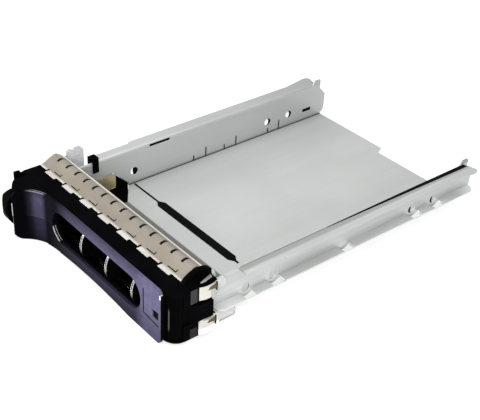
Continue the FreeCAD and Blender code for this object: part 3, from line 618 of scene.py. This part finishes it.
# Small pieces that the solids leave out, and dark pieces of painted shade in grooves, holes, reliefs, slots
# and hollows.
def piece(name, points, faces, slot, material=None, thick=0.0):
    """A mesh piece, with its points in metres in the frame of the part."""
    mesh = bpy.data.meshes.new(name)
    mesh.from_pydata([tuple(p) for p in points], [], faces)
    mesh.update()
    obj = bpy.data.objects.new(name, mesh)
    bpy.context.scene.collection.objects.link(obj)
    mesh.materials.append(material or materials[slot])
    if thick:
        solid = obj.modifiers.new("thickness", "SOLIDIFY")
        solid.thickness = thick
        solid.offset = 0
    return obj


def plate(name, axis, level, outline, depth, slot="black_print", body="caddy", material=None):
    """A flat outline across X, Y or Z at a level, extruded along that axis by depth."""
    across = "XYZ".index(axis)
    push = Vector((0, 0, 0))
    push[across] = depth
    near = [Vector((*pair[:across], level, *pair[across:])) for pair in outline]
    count = len(near)
    faces = [list(range(count))[::-1], list(range(count, 2 * count))]
    faces += [[i, (i + 1) % count, count + (i + 1) % count, count + i] for i in range(count)]
    made = piece(name, near + [point + push for point in near], faces, slot, material)
    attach(made, body)


def rectangle(low_a, low_b, high_a, high_b):
    return [(low_a, low_b), (high_a, low_b), (high_a, high_b), (low_a, high_b)]


def add_groove_shade():
    """Dark pieces in the foot of the L shaped groove beside the status window, standing in for its shade."""
    lens_low, lens_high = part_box("status_lens")
    face_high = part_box("lever_face")[1]
    wide = 0.8 * MM
    inset = 0.08 * MM
    drop = 1.2 * MM
    depth = 0.3 * MM
    front = face_high[1] - 1.4 * MM
    top = face_high[2] - 4.8 * MM
    left = lens_low[0] - 6.8 * MM
    right = lens_high[0]
    foot = lens_low[2] - 2.1 * MM
    upright = rectangle(left + inset, foot + wide, left + wide - inset, top)
    level = [(left, foot + inset), (right, foot - drop + inset), (right, foot - drop + wide - inset),
             (left, foot + wide - inset)]
    plate("groove_shade_upright", "Y", front, upright, depth, body="lever")
    plate("groove_shade_level", "Y", front, level, depth, body="lever")


def add_clip_hooks():
    """The rolled rear hooks of the right hand clips, with dark plates of painted shade in their hollows."""
    depth = 0.5 * MM
    for level, top_share in (("upper", 0.86), ("lower", 0.92)):
        low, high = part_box("clip_right_" + level)
        tall = high[2] - low[2]
        top = low[2] + tall * top_share
        side = high[0] - 0.35 * MM
        rear = high[1] - 2.6 * MM
        hollow = [(rear - 4.0 * MM, top - 1.3 * MM), (rear, top - 1.7 * MM), (rear, top - 0.1 * MM),
                  (rear - 3.0 * MM, top)]
        edge = rectangle(rear + 0.3 * MM, low[2] + tall * 0.35, rear + 0.7 * MM, high[2])
        plate("clip_hollow_shade_" + level, "X", side, hollow, depth, "brass_spring", material=hollow_shade)
        plate("clip_edge_" + level, "X", side - 0.2 * MM, edge, depth)


def add_clip_lip():
    """The bright lip above the lower right clip."""
    low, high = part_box("clip_right_lower")
    side = high[0] - 0.9 * MM
    top = high[2]
    front, rear = low[1] + 0.2 * MM, high[1] - 1.6 * MM
    lip = [(front, top - 0.8 * MM), (rear, top - 0.5 * MM), (rear, top + 0.9 * MM),
           ((front + rear) / 2, top + 1.0 * MM), (front, top + 0.7 * MM)]
    plate("clip_lip_lower", "X", side, lip, 0.5 * MM, "bright_clip")


def add_button_coil():
    """The button's spring as a coil that rides on the lever, in place of the button_spring node."""
    low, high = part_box("button_spring")
    middle = (low + high) / 2
    wire = 0.25 * MM
    radius = (high[1] - low[1]) / 2 - wire
    turns = 5
    around = 20
    sides = 8
    points, faces = [], []
    steps = turns * around
    length = high[0] - low[0]
    reach = length - 2 * wire
    for i in range(steps + 1):
        share = i / steps
        a = 2 * math.pi * turns * share
        out = Vector((0, math.cos(a), math.sin(a)))
        centre = Vector((low[0] + wire + reach * share, middle[1], middle[2])) + out * radius
        for k in range(sides):
            b = 2 * math.pi * k / sides
            points.append(centre + (out * math.cos(b) + Vector((1, 0, 0)) * math.sin(b)) * wire)
    for i in range(steps):
        near, far = i * sides, (i + 1) * sides
        for k in range(sides):
            faces.append([near + k, near + (k + 1) % sides, far + (k + 1) % sides, far + k])
    faces.append(list(range(sides))[::-1])
    faces.append([steps * sides + k for k in range(sides)])
    made = piece("button_coil", points, faces, "spring_steel")
    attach(made, "lever")
    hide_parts("button_spring")
    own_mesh(made)


def add_relief_shades():
    """Dark plates of painted shade in the left rail's bend reliefs, beside each floor tab, and in its rear
    slot.

    Places are in millimetres behind the front hole and above the floor."""
    tab_rows = [40.9, 61.0, 91.0]
    half_tab = 3.5
    foot = -0.5
    slots = []
    for row in tab_rows:
        slots.append((row - half_tab - 0.8, row - half_tab - 0.1, foot, 2.4))
        slots.append((row + half_tab + 0.1, row + half_tab + 0.8, foot, 4.9))
    slots.append((112.1, 117.9, 4.3, 6.1))
    for i, (y0, y1, z0, z1) in enumerate(slots):
        outline = rectangle(FRONT_HOLE_Y + y0 * MM, FLOOR_TOP + z0 * MM, FRONT_HOLE_Y + y1 * MM,
                            FLOOR_TOP + z1 * MM)
        plate("relief_shade_%d" % (i + 1), "X", -TRAY_HALF - 0.1 * MM, outline, -0.5 * MM)


def hole_shade(name, y, z, side, wide, toward):
    """A dark crescent of painted shade in a screw hole, on the side that toward points to along Y."""
    steps = 14
    inner_share = 0.98
    turns = [math.radians(-80 + 160 * i / steps) for i in range(steps + 1)]
    outline = [(y + toward * math.cos(a) * HOLE_R, z + math.sin(a) * HOLE_R) for a in turns]
    for a in reversed(turns):
        inner = toward * (math.cos(a) * HOLE_R * inner_share - wide * math.cos(a))
        outline.append((y + inner, z + math.sin(a) * HOLE_R * inner_share))
    plate(name, "X", side * (TRAY_HALF + 0.15 * MM), outline, side * 0.5 * MM)


def add_hole_shades():
    """Crescents of painted shade in the screw holes, the rear one of the forward position among them."""
    mounts = {mount["name"]: mount for mount in record["mounts"]}
    forward_shift = 15 * MM

    def rows(mount):
        half = mount["dims"]["spacing_x_mm"] * MM / 2
        return mount["pos_m"][1] - half, mount["pos_m"][1] + half, mount["pos_m"][2]

    front, rear, z = rows(mounts["drive_screws_left"])
    for i, (y, wide) in enumerate([(front, 2.7), (rear - forward_shift, 1.1), (rear, 1.1)]):
        hole_shade("left_hole_shade_%d" % (i + 1), y, z, -1, wide * MM, 1)
    front, rear, z = rows(mounts["drive_screws_right"])
    for i, y in enumerate([rear - forward_shift, rear]):
        hole_shade("right_hole_shade_%d" % (i + 1), y, z, 1, 1.5 * MM, -1)


def fold_shade_line(name, span, turn, flat, material=None):
    """A line of painted shade along the right rail's top fold, from the start to the end of span.

    turn is where round the fold it begins, in degrees, and flat its width on the flange, in millimetres.
    Both have a start and an end value."""
    fold_r = 1.3 * MM
    lip_tall = 2.0 * MM
    proud = 0.05 * MM
    top = rail_high[2] - lip_tall
    along = 24
    arc = 8
    points = []
    for i in range(along + 1):
        share = i / along
        y = span[0] + (span[1] - span[0]) * share
        begin = math.radians(turn[0] + (turn[1] - turn[0]) * share)
        for j in range(arc + 1):
            a = begin + (math.pi / 2 - begin) * j / arc
            r = fold_r + proud
            points.append((TRAY_HALF + fold_r - r * math.cos(a), y, top - fold_r + r * math.sin(a)))
        edge = flat[0] + (flat[1] - flat[0]) * share
        points.append((TRAY_HALF + fold_r + edge * MM, y, top + proud))
    wide = arc + 2
    faces = [[i * wide + j, i * wide + j + 1, (i + 1) * wide + j + 1, (i + 1) * wide + j]
             for i in range(along) for j in range(wide - 1)]
    line = piece(name, points, faces, "black_print", material, thick=proud)
    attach(line, "caddy")


def add_fold_shade_lines():
    """The line of painted shade starts thin and grey at the flange's front end, and widens and darkens
    towards the rear.
    """
    start, change, end = 30.6 * MM, 79.5 * MM, 170.0 * MM
    fold_shade_line("rail_fold_shade_line", (change, end), (78, 36), (0.1, 1.95))
    fold_shade_line("rail_fold_shade_line_front", (start, change), (80, 78), (0.02, 0.1), fold_shade_grey)


def add_rail_linings():
    """A dark plate of painted shade in the slot at the left rail's fold, and the zinc behind the top edge of
    the corner opening.
    """
    slot = rectangle(FRONT_HOLE_Y + 9.35 * MM, FLOOR_TOP + 16.95 * MM, FRONT_HOLE_Y + 21.55 * MM,
                     FLOOR_TOP + 18.15 * MM)
    slot_x = -TRAY_HALF - 0.12 * MM
    plate("fold_slot_shade", "X", slot_x, slot, -0.5 * MM)
    leaf_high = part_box("earth_spring")[1]
    corner = leaf_high[1] + 7.6 * MM
    front = corner - 14.4 * MM
    foot, top = leaf_high[2] - 0.6 * MM, FLOOR_TOP + 9.55 * MM
    edge = [(front, foot), (corner - 8.4 * MM, foot), (corner - 9.1 * MM, top), (front, top)]
    zinc = own_finish["left_rail"]
    plate("corner_lining", "X", slot_x - 0.3 * MM, edge, -0.3 * MM, "zinc_sheet", material=zinc)


def add_stripe_leads():
    """The bolder ends of the floor's black stripe."""
    low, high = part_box("position_stripe")
    middle = (low[1] + high[1]) / 2
    half = 0.5 * MM
    for name, x0, x1 in (("stripe_lead_left", low[0], low[0] + 20.8 * MM),
                         ("stripe_lead_right", high[0] - 5.5 * MM, high[0])):
        plate(name, "Z", high[2], rectangle(x0, middle - half, x1, middle + half), 0.03 * MM)


def add_slit_shade():
    """A black sheet just under the contact strip, so that its slits look deep and dark."""
    low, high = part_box("contact_strip")
    deck = low[2] + 5.3 * MM
    peak = STRIP_PEAK_Y
    foot = 2.3 * MM
    inset = 0.8 * MM
    sheet = 0.25 * MM
    inside = high[2] - sheet
    left, right = low[0] + inset, high[0] - inset
    under = [(foot + 1.05 * MM, deck + 0.02 * MM), (peak - 0.9 * MM, inside - 0.55 * MM),
             (peak + 0.7 * MM, inside - 0.5 * MM), (peak + 3.6 * MM, inside - 2.6 * MM),
             (peak + 3.3 * MM, inside - 2.7 * MM), (peak + 0.6 * MM, inside - 0.8 * MM),
             (peak - 0.9 * MM, inside - 0.85 * MM), (foot + 1.35 * MM, deck - 0.15 * MM)]
    plate("strip_shade", "X", left, under, right - left)


def add_barrel_ribs():
    """Two raised upright ribs on the lever's barrel, the first of them with a painted grey highlight."""
    pin = Vector(record["behaviour"]["joints"][0]["pos_m"])
    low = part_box("lever_frame")[0][2] + 3.0 * MM
    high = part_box("bezel_frame")[1][2] - 8.4 * MM
    radius = 6.0 * MM
    inside = radius - 0.2 * MM
    outside = radius + 0.25 * MM
    wide_turn = 3.0
    top_turn = wide_turn * 0.6
    corners = [(-wide_turn, inside), (wide_turn, inside), (top_turn, outside), (-top_turn, outside)]
    for i, (middle, finish) in enumerate(((-64, rib_highlight), (-20, None))):
        outline = []
        for turn, r in corners:
            a = math.radians(middle + turn)
            outline.append((pin.x + r * math.cos(a), pin.y + r * math.sin(a)))
        plate("barrel_rib_%d" % (i + 1), "Z", low, outline, high - low, "black_plastic", "lever", finish)


def add_top_foil():
    """The small bright leaf beside the end rib of the contact strip, on the top plate."""
    strip_low, strip_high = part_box("contact_strip")
    front, rear = strip_low[1], strip_high[1]
    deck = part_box("lever_pin")[1][2] + 0.8 * MM
    x = strip_high[0] + 5.1 * MM
    outline = [(x, front + 7.0 * MM), (x + 0.6 * MM, front + 8.0 * MM), (x + 0.6 * MM, front + 9.4 * MM),
               (x - 0.4 * MM, rear - 1.4 * MM), (x - 2.2 * MM, rear - 0.9 * MM)]
    plate("top_leaf", "Z", deck, outline, 0.15 * MM, "bright_clip")


# Light, floor and background. Each light has its name, its place, target and size in metres, and its power.
LIGHTS = [
    ("overhead", (0.0, 0.1, 1.1), (0, 0.06, 0), (1.0, 1.0), 9.5),
    ("left_front", (-0.62, -0.66, 0.26), (0, -0.01, 0.012), (0.16, 0.45), 6),
    ("right_front", (0.8, -0.5, 0.35), (0.02, 0, 0.01), (0.5, 0.35), 5),
]


def area_light(name, place, target, size, power):
    data = bpy.data.lights.new(name, "AREA")
    data.shape = "RECTANGLE"
    data.size, data.size_y = size
    data.energy = power
    light = bpy.data.objects.new(name, data)
    bpy.context.scene.collection.objects.link(light)
    light.location = Vector(place)
    aim = Vector(target) - Vector(place)
    light.rotation_mode = "QUATERNION"
    light.rotation_quaternion = aim.to_track_quat("-Z", "Y")


def make_floor():
    bpy.ops.mesh.primitive_circle_add(vertices=96, radius=4, fill_type="NGON")
    floor = bpy.context.object
    floor.name = "floor"
    f = Finish("floor_white", grey(0.35), rough=0.9)
    f.set("Emission Color", (1, 1, 1, 1))
    f.set("Emission Strength", 0.74)
    f.colour_from(f.blend_colour(f.noise(scale=3, detail=2), grey(0.345), grey(0.355)))
    floor.data.materials.append(f.done())


def make_world():
    world = bpy.data.worlds.new("world")
    bpy.context.scene.world = world
    world.use_nodes = True
    back = world.node_tree.nodes["Background"]
    back.inputs["Color"].default_value = (1, 1, 1, 1)
    back.inputs["Strength"].default_value = 0.5


dress_nodes()
add_groove_shade()
add_clip_hooks()
add_clip_lip()
add_button_coil()
add_relief_shades()
add_hole_shades()
add_fold_shade_lines()
add_rail_linings()
add_stripe_leads()
add_slit_shade()
add_barrel_ribs()
add_top_foil()
make_camera()
for lamp in LIGHTS:
    area_light(*lamp)
make_floor()
make_world()
bpy.context.scene.view_settings.view_transform = "Standard"
